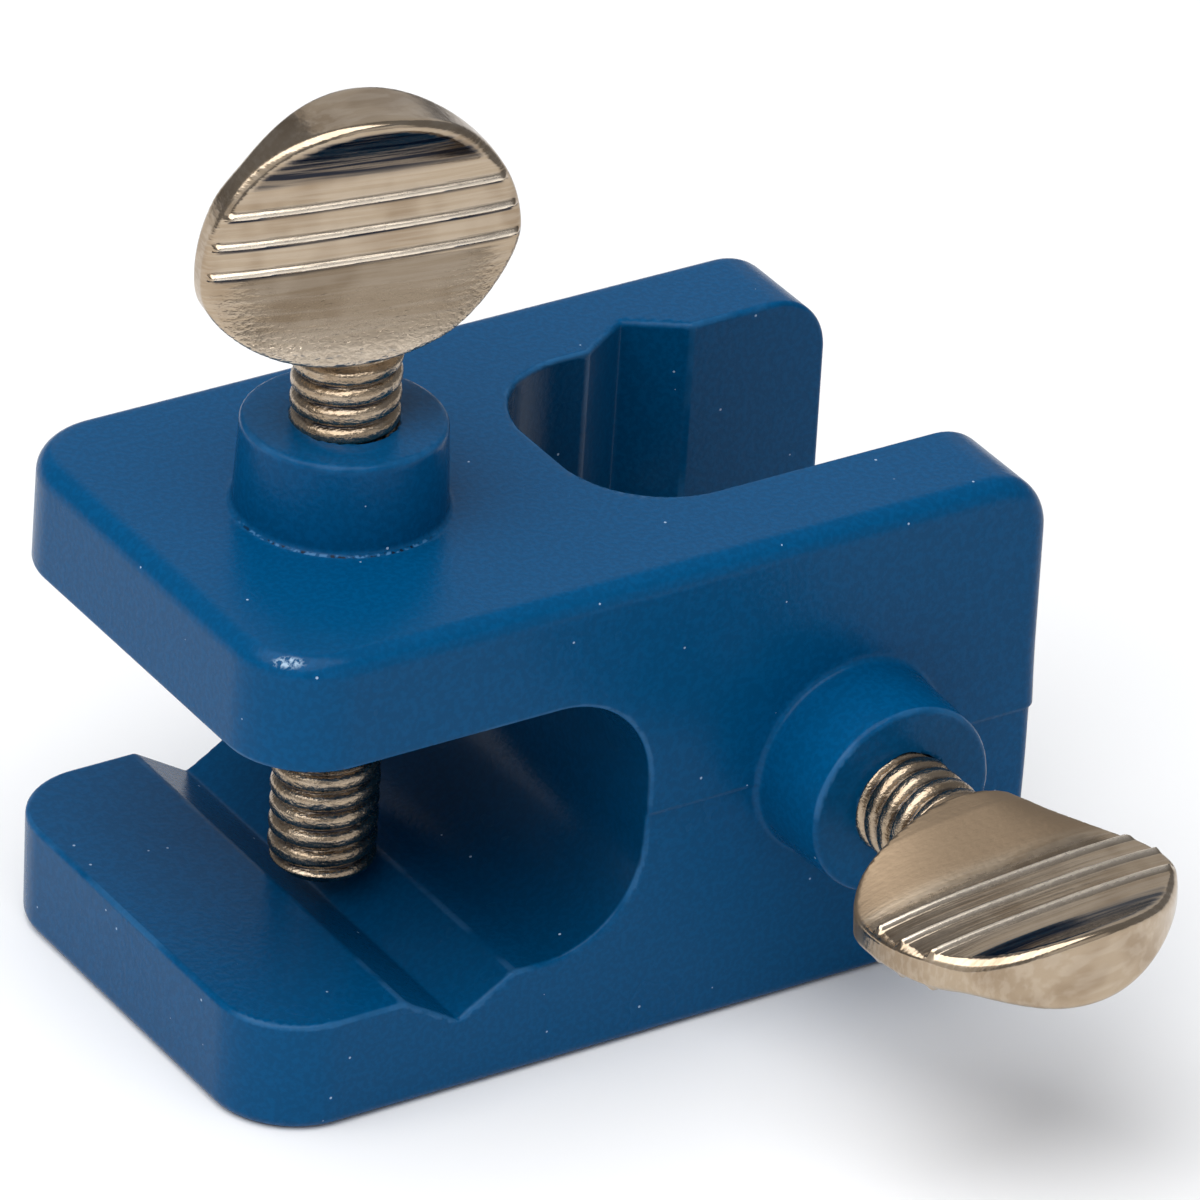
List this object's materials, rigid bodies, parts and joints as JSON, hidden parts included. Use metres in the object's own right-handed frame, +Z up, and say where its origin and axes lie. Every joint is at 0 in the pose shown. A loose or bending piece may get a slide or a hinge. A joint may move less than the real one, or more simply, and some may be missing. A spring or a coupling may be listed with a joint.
{
  "type": "boss head clamp",
  "caption": "Right-angle boss head clamp with two opposed jaws, each with a V seat and a thumb screw, for holding a laboratory rod across a stand's rod.",
  "frame": {"origin": "middle of the casting's flat underside", "axes": "+X from the jaw closed by the upright screw to the jaw closed by the level screw; +Y away from the level screw's head; +Z up, towards the upright screw's head"},
  "size_m": [0.0519, 0.0569, 0.0564],
  "materials": {
    "blue_paint": "satin blue powder coat with a fine orange peel",
    "nickel": "bright warm nickel plate over a cast grain"
  },
  "bodies": {
    "casting": {"clamp_body": "blue_paint"},
    "top_screw": {"top_thumbscrew": "nickel"},
    "front_screw": {"front_thumbscrew": "nickel"}
  },
  "joints": [
    {"name": "top_screw_travel", "type": "slide", "parent": "casting", "child": "top_screw", "axis": [0, 0, 1], "range_m": [-0.0006, 0.0165]},
    {"name": "front_screw_travel", "type": "slide", "parent": "casting", "child": "front_screw", "axis": [0, -1, 0], "range_m": [-0.0011, 0.016]}
  ]
}
